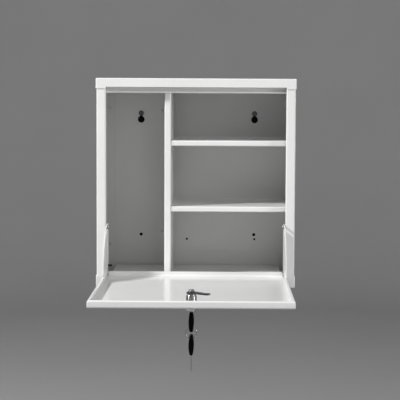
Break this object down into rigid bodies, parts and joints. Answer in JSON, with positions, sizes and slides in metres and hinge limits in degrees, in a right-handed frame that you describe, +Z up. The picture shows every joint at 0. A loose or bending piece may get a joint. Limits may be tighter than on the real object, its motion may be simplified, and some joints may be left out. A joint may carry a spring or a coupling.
{
  "type": "wall-mounted drop-front cabinet",
  "caption": "Small wall-hung steel drop-front cabinet: divider and shelves inside, a tray-like door that folds down on slotted stays, and a cam lock with keys.",
  "frame": {"origin": "middle of the back face, on the wall", "axes": "+X to the right seen from the front, -Y out of the wall towards the user, +Z up"},
  "size_m": [0.384, 0.5784, 0.4914],
  "materials": {
    "white_coat": "glossy white powder coat",
    "chrome_plate": "bright plated",
    "zinc_plate": "zinc plated, satin",
    "rivet": "satin",
    "black_plastic": "fine moulded texture",
    "black_rubber": "matte"
  },
  "bodies": {
    "cabinet": {"back_panel": "white_coat", "back_rivet_left_lower": "rivet", "back_rivet_left_upper": "rivet", "back_rivet_right_lower": "rivet", "back_rivet_right_upper": "rivet", "bottom_cap": "white_coat", "divider": "white_coat", "divider_rivet_lower": "rivet", "divider_rivet_upper": "rivet", "door_stop": "white_coat", "floor_panel": "white_coat", "hinge_pin_left": "chrome_plate", "hinge_pin_right": "chrome_plate", "hinge_washer_left": "chrome_plate", "hinge_washer_right": "chrome_plate", "shelf_lower": "white_coat", "shelf_upper": "white_coat", "side_panel_left": "white_coat", "side_panel_right": "white_coat", "stay_pin_left": "chrome_plate", "stay_pin_right": "chrome_plate", "top_cap": "white_coat", "wall_screw_left": "zinc_plate", "wall_screw_right": "zinc_plate"},
    "door": {"closing_buffer": "black_rubber", "door_panel": "white_coat", "lock_body": "chrome_plate", "lock_clip": "zinc_plate", "stay_plate_left": "white_coat", "stay_plate_right": "white_coat", "stay_rivet_front_left": "rivet", "stay_rivet_front_right": "rivet", "stay_rivet_rear_left": "rivet", "stay_rivet_rear_right": "rivet"},
    "lock_rotor": {"lock_plug": "chrome_plate", "cam": "zinc_plate", "cam_screw": "zinc_plate"},
    "key_1": {"key_1_head": "black_plastic", "key_1_blade": "chrome_plate"},
    "ring": {"key_ring": "chrome_plate"},
    "key_2": {"key_2_head": "black_plastic", "key_2_blade": "chrome_plate"}
  },
  "joints": [
    {"name": "door_fold", "type": "hinge", "parent": "cabinet", "child": "door", "pos_m": [0, -0.1918, -0.1733], "axis": [-1, 0, 0], "range_deg": [0, 90]},
    {"name": "lock_turn", "type": "hinge", "parent": "door", "child": "lock_rotor", "pos_m": [0, -0.5284, -0.171], "axis": [0, 0, -1], "range_deg": [0, 90]},
    {"name": "key_slide", "type": "slide", "parent": "lock_rotor", "child": "key_1", "axis": [0, 0, -1], "range_m": [0, 0.0295]},
    {"name": "ring_swing", "type": "hinge", "parent": "key_1", "child": "ring", "pos_m": [0, -0.5284, -0.21665], "axis": [1, 0, 0], "range_deg": [-35, 35]},
    {"name": "key_2_swing", "type": "hinge", "parent": "ring", "child": "key_2", "pos_m": [0, -0.5284, -0.23485], "axis": [1, 0, 0], "range_deg": [-20, 20]}
  ]
}
